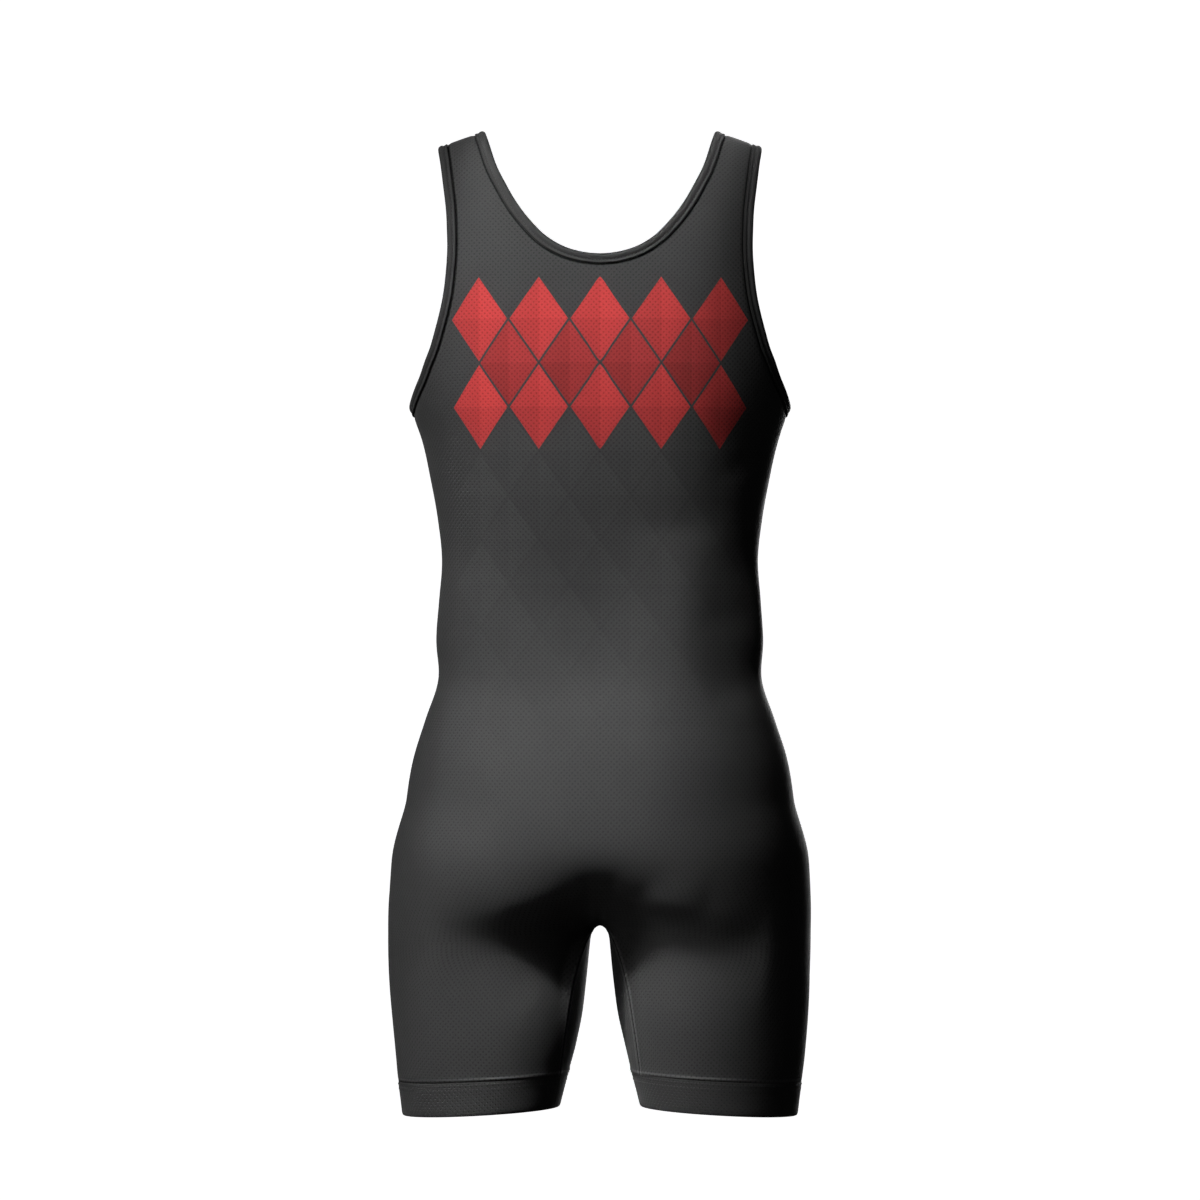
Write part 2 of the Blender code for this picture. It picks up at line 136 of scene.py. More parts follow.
# The free edge of the left armhole, from under the arm up the back, over and down the front.
ARMHOLE_EDGE = table(
    "across behind up",
    (0.1630, -0.0080, -0.2283),
    (0.1618, 0.0241, -0.2225),
    (0.1554, 0.0471, -0.2061),
    (0.1492, 0.0574, -0.1893),
    (0.1431, 0.0635, -0.1724),
    (0.1346, 0.0675, -0.1384),
    (0.1308, 0.0644, -0.1042),
    (0.1308, 0.0585, -0.0780),
    (0.1327, 0.0496, -0.0524),
    (0.1370, 0.0290, -0.0195),
    (0.1390, 0.0000, -0.0063),
    (0.1360, -0.0290, -0.0170),
    (0.1300, -0.0469, -0.0370),
    (0.1250, -0.0604, -0.0620),
    (0.1205, -0.0717, -0.0900),
    (0.1195, -0.0799, -0.1180),
    (0.1240, -0.0842, -0.1470),
    (0.1340, -0.0814, -0.1740),
    (0.1450, -0.0721, -0.1960),
    (0.1550, -0.0551, -0.2130),
    (0.1615, -0.0320, -0.2250),
    (0.1630, -0.0080, -0.2283),
)
ARMHOLE_SHOULDER = 10

# The inseam of the left leg, from the crotch down the back of the inner thigh.
INSEAM = table(
    "across behind up",
    (0.0000, 0.0000, -0.6740),
    (0.0115, 0.0260, -0.6850),
    (0.0206, 0.0400, -0.7100),
    (0.0262, 0.0440, -0.7350),
    (0.0310, 0.0420, -0.7700),
    (0.0345, 0.0353, -0.8010),
)
SIDE_SEAM_BEHIND = -0.010
SIDE_AT_CROTCH = -0.692
BAND_TOP = -0.8035
BAND_TILT = 0.055
BAND_AXIS = 0.101

# The grids that the panels are drawn on before they are made finer.
LEG_ROWS = 7
LEG_LEAN = 0.65
CROTCH_ROWS = 7
ROW_LEAN = -0.60
TRUNK_ROWS = 22
CENTRE_LEAN = -0.40
ARM_ROWS = 24
ARMHOLE_LEAN = 0.30
NECK_ROWS = 18
NECK_LEAN = -0.25
COLUMNS = 11
RELAX_ROUNDS = 40
DENSE = 12
EVEN_SAMPLES = 8
SETTLE_STEPS = 6
LONGEST_STEP = 0.020
NUDGE = 1e-4
BACK = 1
FRONT = -1

# ---------------- what only the looks need

# Each span of the coarse grids is cut into FINER, and of the free edges into EDGE_FINER. Narrow ones
# are added along the seams.
FINER = 5
EDGE_FINER = 4
NARROW_ROWS = np.array([0.03, 0.06, 0.10])
NARROW_COLUMNS = np.array([0.05, 0.10, 0.15])
CLOTH = 0.0009
BINDING_WIDTH = 0.0090
TUCK = 0.0055
LOOP_STEP = 0.0025
ARC_STEPS = 48
# A place round the trunk is told by its width up to the first share of a quarter turn, and by its
# depth from the second on.
WIDTH_TO_DEPTH = (0.6, 0.9)
# The oval that the points of a leg band start from, before they settle on the thigh.
BAND_STEPS = 168
BAND_GUIDE = (0.065, 0.070)

# Soft creases of the worn cloth, in millimetres: a trough between two points (across, up, across,
# up), its bow sideways, its widths above and below, and its depth. Where the depth is less than zero
# the cloth is full there, and stands proud. A crease dies out towards its ends by CREASE_TAPER.
CREASE_TAPER = 0.75
CREASES = {
    BACK: (
        (4, -676, 134, -685, -17, 27, 42, 13.0),
        (-4, -678, -142, -692, 15, 27, 36, 13.2),
        (10, -641, 92, -649, -4, 21, 16, -4.0),
        (-10, -641, -90, -648, 4, 21, 16, -3.7),
        (-68, -335, -76, -500, 0, 29, 40, -7.4),
        (22, -652, 60, -612, 4, 9, 10, 0.9),
        (-24, -655, -72, -620, -3, 10, 10, 1.1),
        (128, -455, 60, -478, 5, 10, 12, 1.0),
        (-130, -462, -48, -492, -6, 11, 12, 1.2),
        (-128, -405, -75, -420, 3, 9, 11, 0.8),
        (36, -712, 90, -745, 4, 10, 11, 1.0),
        (-34, -716, -80, -752, -5, 11, 11, 1.1),
        (140, -262, 85, -300, 6, 10, 11, 0.8),
        (-142, -258, -95, -292, -5, 10, 11, 0.9),
    ),
    FRONT: (
        (14, -655, 105, -588, -7, 13, 16, 3.0),
        (-12, -658, -98, -596, 8, 13, 15, 2.7),
        (30, -700, 95, -690, 5, 10, 12, 1.3),
        (-28, -705, -100, -700, -6, 11, 12, 1.4),
        (126, -440, 40, -462, -6, 11, 12, 1.2),
        (-128, -430, -55, -450, 5, 10, 11, 1.0),
        (-130, -478, -50, -486, -4, 10, 12, 0.9),
        (138, -268, 80, -305, 6, 11, 12, 1.0),
        (-140, -262, -72, -312, -6, 12, 13, 1.2),
        (18, -182, 52, -232, 4, 12, 13, 0.8),
    ),
}

# Slow swells of the cloth: the waves of each along the three axes, in radians a metre, and how high
# it stands. Each is shifted on from the one before.
SHIFT = 7
SWELLS = table(
    "across behind up height",
    (31, 12, 23, 0.00035),
    (-22, 17, 37, 0.00030),
    (47, -9, -16, 0.00022),
    (11, 29, -52, 0.00020),
    (58, 21, 44, 0.00012),
)

# The relief at the sewn lines: how proud the allowances and the cover-stitched hem stand, and at what
# distance, how deep the stitching pulls, and how wide each is.
SEAM_RIDGE = {BACK: 0.00055, FRONT: 0.00035}
SEAM_RIDGE_AT = 0.0021
SEAM_DIP = 0.00055
HEM_RIDGE = 0.00075
HEM_RIDGE_AT = 0.0017
HEM_DIP = 0.00020
RIDGE_WIDTH = 0.0010
DIP_WIDTH = 0.0009
RIM_DIP = 0.00100
RIM_SLOPE = (-0.001, 0.004)
# Between which distances from a sewn line the creases and swells set in.
CALM_AT_SEAM = (0, 0.012)
CALM_AT_RIM = (0.001, 0.022)
CALM_AT_HEM = (0.002, 0.022)

# The binding's skin, from its sewn edge on the outside over the free edge to the inside, in
# millimetres.
BINDING_SECTION = table(
    "across out",
    (8.80, -1.50),
    (9.05, -0.60),
    (9.00, 0.30),
    (8.70, 0.72),
    (8.30, 0.92),
    (7.60, 0.96),
    (6.90, 0.78),
    (6.35, 0.50),
    (6.00, 0.40),
    (5.65, 0.54),
    (5.00, 0.96),
    (4.20, 1.32),
    (3.20, 1.48),
    (2.20, 1.38),
    (1.30, 1.00),
    (0.60, 0.40),
    (0.15, -0.25),
    (0.00, -0.70),
    (0.30, -1.25),
    (1.10, -1.75),
    (2.30, -2.05),
    (4.00, -2.05),
    (5.60, -1.75),
    (6.00, -1.65),
    (6.50, -1.75),
    (8.00, -1.90),
    (8.90, -1.70),
    (9.00, -0.85),
    parts=MILLIMETRES,
)

# The turned hem's skin, from under the panel's edge down the outside, round and up the inside, in
# millimetres.
HEM_SECTION = table(
    "down out",
    (-0.60, -0.60),
    (-0.10, -0.24),
    (0.40, -0.08),
    (1.20, 0.10),
    (3.00, 0.22),
    (6.00, 0.26),
    (10.00, 0.30),
    (14.00, 0.30),
    (18.00, 0.30),
    (22.00, 0.28),
    (25.50, 0.22),
    (27.50, 0.05),
    (28.60, -0.35),
    (29.00, -0.85),
    (28.70, -1.40),
    (27.80, -1.80),
    (26.00, -2.05),
    (20.00, -2.15),
    (13.00, -2.15),
    (6.00, -2.10),
    (0.00, -2.05),
    (-2.50, -2.00),
    (-3.20, -1.75),
    (-3.40, -0.85),
    parts=MILLIMETRES,
)

STITCH_STEP = 0.0031
STITCH_LONG = 0.0023
STITCH_THICK = 0.00050
STITCH_RISE = 0.00012
STITCH_BLUNT = 0.06
STITCH_RINGS = 5
STITCH_SIDES = 6
BINDING_STITCH = 0.0060
BINDING_STITCH_OUT = 0.00046
HEM_STITCHES = 0.0022, 0.0062
HEM_STITCH_OUT = 0.00032
HEM_OUTER_POINT = 4
NECK_TOWARD = 1
ARM_TOWARD = -1
NECK_STRIP = (0.78, 0.022)
ARM_STRIP = (0.52, 0.022)

# The knit: the steps of its pinholes and of its loops, how wide the holes are, how much painted shade
# darkens them, and how deep.
HOLE_PITCH = 0.0047
HOLE_JITTER = 0.22
JITTER_SCALE = 90.0
HOLE_EDGE = (0.55, 1.30)
BODY_HOLE = 0.00085
INNER_HOLE = 0.00075
HEM_HOLE = 0.00070
HOLE_PAINTED_SHADE = 0.36
WALE = 0.0011
COURSE = 0.0009
BINDING_WALE = 0.0010
BINDING_COURSE = 0.0008
COLUMN_GAP = 0.12
GAP_HEIGHT = 0.35
LOOP_HEIGHT = 0.10
KNIT_RELIEF = 0.00022
BINDING_RELIEF = 0.00012
THREAD_RELIEF = 0.00005

# Painted highlight and shade of a loop: how much its height lightens it, and the tone at its foot.
LOOP_PAINTED_LIGHT = (0.03, 0.98)
BINDING_LOOP_PAINTED_LIGHT = (0.22, 0.86)
# Painted shade in the twist of the thread: how much the twist's height lightens it, and the tone in its
# grooves.
THREAD_PAINTED_SHADE = (0.5, 0.7)
# Layers of uneven dye: their scale and detail, where their range starts, their darkest and lightest.
KNIT_DYE = ((14.0, 4.0, 0.3, 0.94, 1.05), (900.0, 1.0, 0.25, 0.90, 1.10))
BINDING_DYE = ((40.0, 3.0, 0.3, 0.93, 1.06), (1200.0, 1.0, 0.25, 0.90, 1.10))
# The painted shade in the groove at each sewn line and the painted highlight on the ridge beside it: how
# wide and how dark the groove is, how far off the ridge is, and how light.
SEWN_LINE_PAINTED_SHADE_AND_HIGHLIGHT = (
    ("rim", 0.0022, 0.01, 0.0050, 1.0),
    ("seam", 0.0011, 0.30, 0.0023, 2.00),
    ("hem", 0.0009, 0.85, 0.0023, 2.20),
)
PAINTED_GROOVE_SHADE_CORE = 0.45
PAINTED_RIDGE_HIGHLIGHT_EDGE = (0.0005, 0.0018)
# Painted shade across a binding, at the fold where it rolls under, in the dip of the stitching and in the
# groove at the sewn edge: between which two distances it changes, and from what to what.
FOLD_PAINTED_SHADE = (0.0003, 0.0026, 0.42, 1.0)
STITCH_PAINTED_SHADE = (0.0, 0.0009, 0.82, 1.0)
SEWN_EDGE_PAINTED_SHADE = (0.0080, 0.0088, 1.0, 0.10)

# The print: a band of lozenges, and their faint ghosts below it.
LOZENGE_WIDTH = 0.052
LOZENGE_HEIGHT = 0.075
LOZENGE_TOP_ROW = -0.155
LOZENGE_EDGE = (0.474, 0.482)
PRINT_COLUMNS = 2.2
PRINT_MIDDLE_ROW = 0.5
PRINT_ROWS = 0.6
FACET_TONE = 1.08
LEFT_FACET = -0.16
LOWER_FACET = -0.12
LOZENGE_CHANCE = 0.14
GHOST_TOP_ROW = 1.4
GHOST_FADE = (1.0, 6.5)
GHOST_LEVEL = 0.8
GHOST_STRENGTH = 0.55

CHARCOAL = (0.040, 0.040, 0.040, 1)
INNER_CHARCOAL = (0.048, 0.048, 0.048, 1)
HEM_CHARCOAL = (0.038, 0.038, 0.038, 1)
BINDING_CHARCOAL = (0.034, 0.034, 0.034, 1)
THREAD_CHARCOAL = (0.025, 0.025, 0.026, 1)
BRIGHT_RED = (0.42, 0.036, 0.035, 1)
DARK_RED = (0.29, 0.026, 0.026, 1)

# The studio.
CAMERA_AWAY = 6.2
EYE_LEVEL = -0.394
VIEW_WIDTH = 1.032
SENSOR = 36
FLOOR = -1.72
# The backdrop and the floor: the radius and the height of each ring, and how bright they are.
BACKDROP_SIDES = 64
BACKDROP_RINGS = ((9.0, FLOOR), (9.0, 5.0), (6.0, 8.0), (0.01, 9.0))
BACKDROP_BRIGHTNESS = 1.0
FLOOR_RINGS = ((0.01, FLOOR), (4.0, FLOOR), (9.0, FLOOR))
FLOOR_BRIGHTNESS = 0.86
MIDDLE = (0, 0, -0.42)
# Soft boxes: turned from behind the singlet towards +X, raised, rolled, how far away, how far across
# they aim, width, height, the spread of the beam, and power. The strip's grid keeps its beam narrow.
LIGHTS = (
    ("strip", 28, 56, -2.5, 0.8, -0.016, 0.20, 1.20, 9.0, 0.99),
    ("key", 54, 38, 0, 4.0, 0, 1.2, 1.2, 180, 116),
    ("low_fill", 45, 0, 0, 4.5, 0, 2.0, 2.0, 180, 22),
    ("front_key", 190, 12, 0, 4.5, 0, 2.0, 2.0, 180, 220),
    ("front_fill", 195, 0, 0, 4.5, 0, 2.0, 2.0, 180, 40),
)
WORLD_LIGHT = 0.02


def curve(a, b, start, end, t):
    """The cubic curve from a to b with the slopes start and end, at t from 0 to 1."""
    rise = b - a
    return a + start * t + (3 * rise - 2 * start - end) * t**2 + (start + end - 2 * rise) * t**3


def read(rows, name, height):
    """A column at any height: a smooth curve through the rows, held beyond the ends."""
    down = -rows["height"]
    values = rows[name]
    at = np.clip(-height, down[0], down[-1])
    slopes = np.gradient(values, down)
    row = np.clip(np.searchsorted(down, at) - 1, 0, len(down) - 2)
    span = down[row + 1] - down[row]
    t = (at - down[row]) / span
    return curve(values[row], values[row + 1], span * slopes[row], span * slopes[row + 1], t)


def power_sum(squareness, *terms):
    """The length of the terms taken together, rounder at 2 and squarer above it."""
    return sum(term**squareness for term in terms) ** (1 / squareness)


def smooth_least(a, b, reach):
    """The lesser of two values, rounded off where they come within reach of each other."""
    near = np.maximum(reach - np.abs(a - b), 0) / reach
    return np.minimum(a, b) - near**2 * reach / 4


def dome(aside):
    """The height of a dome at a share of its half width, as a share of its full height."""
    return (1 - aside**DOME_SQUARENESS) ** (1 / DOME_SQUARENESS)


def shoulder_crown(x):
    """The height of the dome over each x, such that its ridge at y = 0 has the shoulders' slope."""
    ridge = RIDGE_PEAK - RIDGE_FALL * x**2
    return SHOULDER_START + (ridge - SHOULDER_START) / dome(np.minimum(x / SHOULDER_HALF, CROWN_REACH))


def trunk(x, y, z):
    """About the distance outside the trunk, less than zero inside it."""
    x = np.abs(x)
    depth = np.where(y > 0, read(TRUNK, "back", z), read(TRUNK, "front", z))
    oval = power_sum(TRUNK_SQUARENESS, x / read(TRUNK, "half_width", z), np.abs(y) / depth)
    rise = np.maximum(z - SHOULDER_START, 0) / (shoulder_crown(x) - SHOULDER_START)
    fall = np.maximum(SEAT_START - z, 0) / (SEAT_START - SEAT_END + SEAT_ARCH * x**2)
    return TRUNK_SCALE * (power_sum(DOME_SQUARENESS, oval, rise + fall) - 1)


def thigh(x, y, z):
    """About the distance outside the left thigh, less than zero inside it."""
    aside = np.abs(x - read(THIGH, "axis", z)) / read(THIGH, "half_width", z)
    depth = np.where(y > 0, read(THIGH, "back", z), read(THIGH, "front", z))
    oval = power_sum(THIGH_SQUARENESS, aside, np.abs(y) / depth)
    rise = np.maximum(z - THIGH_START, 0) / THIGH_CAP
    return THIGH_SCALE * (power_sum(DOME_SQUARENESS, oval, rise) - 1)


def form(points):
    """About the distance outside the whole form."""
    x, y, z = np.moveaxis(points, -1, 0)
    thighs = smooth_least(thigh(x, y, z), thigh(-x, y, z), CROTCH_BLEND)
    return smooth_least(trunk(x, y, z), thighs, SEAT_BLEND)


def slope_of_form(points):
    """The form's gradient, by central differences."""
    steps = np.eye(3) * NUDGE
    return np.stack([(form(points + step) - form(points - step)) / (2 * NUDGE) for step in steps], -1)


def settle(points, level=False, steps=SETTLE_STEPS):
    """Moves points onto the form, in steps of LONGEST_STEP at most; level keeps their heights."""
    for _ in range(steps):
        slope = slope_of_form(points)
        if level:
            slope = slope * (1, 1, 0)
        steepness = np.linalg.norm(slope, axis=-1)
        away = np.clip(form(points) / steepness, -LONGEST_STEP, LONGEST_STEP)
        points = points - slope * (away / steepness)[..., None]
    return points


def unit(vectors):
    return vectors / np.linalg.norm(vectors, axis=-1, keepdims=True)


def normals(points):
    return unit(slope_of_form(points))


def points_of(rows):
    return np.stack([rows["across"], rows["behind"], rows["up"]], -1)


def smooth_line(points, before, after):
    """A smooth line through the points, DENSE steps to a span; before and after lie past its ends."""
    around = np.vstack([before, points, after])
    slopes = (around[2:] - around[:-2]) / 2
    t = (np.arange(DENSE) / DENSE)[:, None]
    spans = [curve(*ends, t) for ends in zip(points, points[1:], slopes, slopes[1:])]
    return settle(np.vstack([*spans, points[-1:]]))


def lengths_along(lines):
    """How far along its line of points each point lies."""
    steps = np.linalg.norm(np.diff(lines, axis=-2), axis=-1)
    return np.concatenate([0 * steps[..., :1], np.cumsum(steps, axis=-1)], -1)


def at_lengths(line, lengths, at):
    """The places on a line at these lengths, where its own points lie at the given lengths."""
    return np.stack([np.interp(at, lengths, line[:, axis]) for axis in range(3)], -1)


def even(line, steps, lean=0):
    """The line resampled along its length: to even steps, or to closer ones at its end if lean > 0."""
    lengths = lengths_along(line)
    share = np.linspace(0, 1, steps + 1)
    return at_lengths(line, lengths, lengths[-1] * (share + lean * share * (1 - share)))


def mirrored(points):
    return points * (-1, 1, 1)


def neck_halves(steps):
    """The left half of the neck's free edge: its back and its front part, each in steps."""
    rows = points_of(NECK_EDGE)
    line = smooth_line(rows, mirrored(rows[1:2]), mirrored(rows[-2:-1]))
    shoulder = NECK_SHOULDER * DENSE
    return even(line[: shoulder + 1], steps, NECK_LEAN), even(line[shoulder:], steps, -NECK_LEAN)


def neck_loop(steps):
    """The neck's free edge as a closed loop: back middle, left shoulder, front middle, right."""
    back, front = neck_halves(steps)
    left = np.vstack([back[:-1], front])
    return settle(np.vstack([left, mirrored(left[-2:0:-1])]))


def armhole_loop(steps):
    """The left armhole's free edge as a closed loop: underarm, back, shoulder, front."""
    rows = points_of(ARMHOLE_EDGE)
    line = smooth_line(rows, rows[-2:-1], rows[1:2])
    shoulder = ARMHOLE_SHOULDER * DENSE
    back = even(line[: shoulder + 1], steps, ARMHOLE_LEAN)
    front = even(line[shoulder:], steps, -ARMHOLE_LEAN)
    return settle(np.vstack([back[:-1], front[:-1]]))


def loop_sideways(loop, toward):
    """At each point of a closed loop, the direction along the form that leads into the cloth."""
    tangents = unit(np.roll(loop, -1, axis=0) - np.roll(loop, 1, axis=0))
    return toward * np.cross(normals(loop), tangents)


def beside(loop, toward, distance):
    """The closed loop moved into the cloth by a distance along the form."""
    return settle(loop + distance * loop_sideways(loop, toward))


def inseam_line():
    rows = points_of(INSEAM)[::-1]
    line = smooth_line(rows, 2 * rows[:1] - rows[1:2], mirrored(rows[-2:-1]))
    return even(line, LEG_ROWS, LEG_LEAN)


def side_line(underarm):
    """The side seam, from the leg band to the underarm."""
    share = np.linspace(0, 1, LEG_ROWS + 1)
    leg = BAND_TOP + (SIDE_AT_CROTCH - BAND_TOP) * (share + LEG_LEAN * share * (1 - share))
    heights = np.append(leg, np.linspace(SIDE_AT_CROTCH, underarm[2], TRUNK_ROWS + 1)[1:])
    behind = np.full_like(heights, SIDE_SEAM_BEHIND)
    behind[-2:] = (SIDE_SEAM_BEHIND + underarm[1]) / 2, underarm[1]
    guide = np.stack([np.full_like(heights, underarm[0]), behind, heights], -1)
    return settle(guide, level=True)


def centre_line(side, neck_middle):
    """The middle of the back or the front, from the crotch up to the neck binding."""
    turns = np.linspace(0, math.pi / 2, DENSE)
    depth = side * read(TRUNK, "back" if side == BACK else "front", np.array(SEAT_START))
    under = np.stack(
        [0 * turns, depth * np.sin(turns), SEAT_START - (SEAT_START - SEAT_END) * np.cos(turns)], -1
    )
    heights = np.linspace(SEAT_START, neck_middle[2], 5 * DENSE)[1:]
    above = np.stack([0 * heights, np.full_like(heights, depth), heights], -1)
    line = np.vstack([settle(under), settle(above, level=True)[:-1], [neck_middle]])
    return even(line, TRUNK_ROWS + ARM_ROWS - NECK_ROWS, CENTRE_LEAN)


def hem_tilt(points, height):
    """The same points with their heights on the tilted plane of a band's edge."""
    points = points.copy()
    points[..., 2] = height - BAND_TILT * (points[..., 0] - BAND_AXIS)
    return points


def band_ring(points, height):
    """The points settled on the form, at the tilted height of a band's edge."""
    return hem_tilt(settle(hem_tilt(points, height), level=True), height)


def arc_row(inner, outer, axis, side, lean):
    """A row of a panel: round the given axis from its inner to its outer end."""
    ends = np.array([inner, outer])
    across, away = ends[:, 0] - axis, side * ends[:, 1]
    turn = np.arctan2(away, across)
    turn = np.where(turn < -math.pi / 2, turn + 2 * math.pi, turn)
    radius = np.hypot(across, away)
    t = np.linspace(0, 1, COLUMNS * EVEN_SAMPLES + 1)
    turns, radii, heights = (pair[0] + (pair[1] - pair[0]) * t for pair in (turn, radius, ends[:, 2]))
    guide = np.stack([axis + radii * np.cos(turns), side * radii * np.sin(turns), heights], -1)
    row = even(settle(guide), COLUMNS, lean)
    row[0], row[-1] = inner, outer
    return row


def relax(grid):
    """Evens out the upper part of a panel's grid on the form. Its cut edges stay where they are."""
    held = np.zeros((len(grid) - 2, COLUMNS, 1), bool)
    held[-NECK_ROWS:, 0] = True
    for round_left in reversed(range(RELAX_ROUNDS)):
        wide = np.concatenate([mirrored(grid[:, 1:2]), grid], axis=1)
        middle = (wide[:-2, 1:-1] + wide[2:, 1:-1] + wide[1:-1, :-2] + wide[1:-1, 2:]) / 4
        middle = settle(middle, steps=1 if round_left else SETTLE_STEPS)
        grid[1:-1, :-1] = np.where(held, grid[1:-1, :-1], middle)
    return grid


def panel_grid(side, inseam, side_seam, neck_seam, arm_seam):
    """The left half of the back or front, as rows from the leg band up to the shoulder."""
    middle = centre_line(side, neck_seam[0])
    inner = np.vstack([inseam, middle[1:], neck_seam[1:]])
    outer = np.vstack([side_seam[:-1], arm_seam])
    rows = np.arange(len(inner))
    crotch, level = LEG_ROWS, LEG_ROWS + CROTCH_ROWS
    axes = read(THIGH, "axis", inner[:, 2]) * np.interp(rows, (crotch, level), (1, 0))
    leans = ROW_LEAN * np.interp(rows, (0, crotch, level), (0.5, 1, 0))
    grid = np.array([arc_row(a, b, x, side, lean) for a, b, x, lean in zip(inner, outer, axes, leans)])
    grid[level:] = relax(grid[level:])
    return grid


def smooth_at(points, places):
    """A smooth curve through the points along the first axis, at places counted in spans."""
    slopes = np.gradient(points, axis=0)
    span = np.clip(np.floor(places).astype(int), 0, len(points) - 2)
    t = (places - span).reshape(-1, *[1] * (points.ndim - 1))
    return curve(points[span], points[span + 1], slopes[span], slopes[span + 1], t)


def smooth_with_corners(points, places, corners):
    """The same, with a sharp corner allowed at each of the named points."""
    ends = [0, *corners, len(points) - 1]
    parts = []
    for low, high in zip(ends, ends[1:]):
        inside = places[(places >= low) & ((places < high) | (high == ends[-1]))]
        parts.append(smooth_at(points[low : high + 1], inside - low))
    return np.concatenate(parts)


def finer_grid(grid):
    """The panel's grid with more rows and columns, on the form, and its edges smooth."""
    crotch, underarm, neck = LEG_ROWS, LEG_ROWS + TRUNK_ROWS, len(grid) - 1 - NECK_ROWS
    even_rows = np.arange((len(grid) - 1) * FINER + 1) / FINER
    even_columns = np.arange(COLUMNS * FINER + 1) / FINER
    row_places = np.unique(np.concatenate([even_rows, NARROW_ROWS]))
    column_places = np.unique(np.concatenate([even_columns, NARROW_COLUMNS, COLUMNS - NARROW_COLUMNS]))
    rows = smooth_at(grid, row_places)
    rows[:, 0] = smooth_with_corners(grid[:, 0], row_places, [crotch, neck])
    rows[:, -1] = smooth_with_corners(grid[:, -1], row_places, [underarm])
    fine = settle(np.swapaxes(smooth_at(np.swapaxes(rows, 0, 1), column_places), 0, 1))
    middle = (row_places >= crotch) & (row_places <= neck)
    fine[middle, 0, 0] = 0
    fine[0] = band_ring(fine[0], BAND_TOP)
    return fine, row_places


# ---------------- cloth pieces


def smoothstep(low, high, value):
    t = np.clip((value - low) / (high - low), 0, 1)
    return t * t * (3 - 2 * t)


def distance_to(line, points):
    """How far each point is from a line, which is given by its own points."""
    nearest = np.full(points.shape[:-1], np.inf)
    for a, b in zip(line, line[1:]):
        along = np.clip(((points - a) @ (b - a)) / ((b - a) @ (b - a)), 0, 1)
        nearest = np.minimum(nearest, np.linalg.norm(points - a - along[..., None] * (b - a), axis=-1))
    return nearest


def closed(loop):
    return np.vstack([loop, loop[:1]])


def creases(points, side):
    """How far the soft creases sink the cloth of the back or the front."""
    places = points[..., ::2]
    sunk = np.zeros(points.shape[:-1])
    for crease in np.array(CREASES[side]) / MILLIMETRES:
        start, end = crease[:2], crease[2:4]
        bow, above, below, depth = crease[4:]
        length = np.linalg.norm(end - start)
        ahead = (end - start) / length
        upward = np.array([-ahead[1], ahead[0]]) * np.sign(ahead[0])
        share = np.clip((places - start) @ ahead / length, 0, 1)
        taper = 4 * share * (1 - share)
        aside = (places - start) @ upward - bow * taper * np.sign(ahead[0])
        width = np.where(aside > 0, above, below)
        sunk += depth * taper**CREASE_TAPER * np.exp(-((aside / width) ** 2))
    return sunk


def swells(points):
    """The slow unevenness of cloth that is pulled over a form."""
    waves = enumerate(zip(points_of(SWELLS), SWELLS["height"]))
    return sum(height * np.sin(points @ wave + SHIFT * n) for n, (wave, height) in waves)


def bump_at(distance, place, width):
    return np.exp(-(((distance - place) / width) ** 2))


def arc_length(points, share):
    """The length of each curve of points up to a share of its steps."""
    lengths = lengths_along(points)
    step = share * (lengths.shape[-1] - 1)
    low = np.clip(step.astype(int), 0, lengths.shape[-1] - 2)
    before, after = (np.take_along_axis(lengths, k[..., None], -1)[..., 0] for k in (low, low + 1))
    return before + (after - before) * (step - low)


def round_the_trunk(x, away, z, depth):
    """How far round the trunk a point lies from its middle; away is less than zero past its side."""
    half, deep = read(TRUNK, "half_width", z), read(TRUNK, depth, z)
    turns = np.linspace(0, math.pi / 2, ARC_STEPS)
    power = 2 / TRUNK_SQUARENESS
    oval = np.stack([half[..., None] * np.sin(turns) ** power, deep[..., None] * np.cos(turns) ** power], -1)
    by_width = np.arcsin(np.clip(x / half, 0, 1) ** (1 / power)) / (math.pi / 2)
    by_depth = np.arccos(np.clip(np.abs(away) / deep, 0, 1) ** (1 / power)) / (math.pi / 2)
    share = by_width + (by_depth - by_width) * smoothstep(*WIDTH_TO_DEPTH, by_width)
    round_it, quarter = arc_length(oval, share), arc_length(oval, np.ones_like(share))
    return np.where(away < 0, 2 * quarter - round_it, round_it)


def up_the_dome(x, z, depth):
    """How far up the chest and over the shoulder z lies, as a height; below the dome it is z."""
    share = np.linspace(0, 1, ARC_STEPS)
    top = shoulder_crown(x) - SHOULDER_START
    ridge = dome(np.minimum(x / SHOULDER_HALF, CROWN_REACH))
    rise = ridge[..., None] * np.sin(share * math.pi / 2)
    height = SHOULDER_START + rise * top[..., None]
    aside = x[..., None] / read(TRUNK, "half_width", height)
    away = np.maximum(dome(rise) ** TRUNK_SQUARENESS - aside**TRUNK_SQUARENESS, 0) ** (1 / TRUNK_SQUARENESS)
    curve = np.stack([away * read(TRUNK, depth, height), height], -1)
    at = np.arcsin(np.clip((z - SHOULDER_START) / (top * ridge), 0, 1)) / (math.pi / 2)
    return np.where(z > SHOULDER_START, SHOULDER_START + arc_length(curve, at), z)


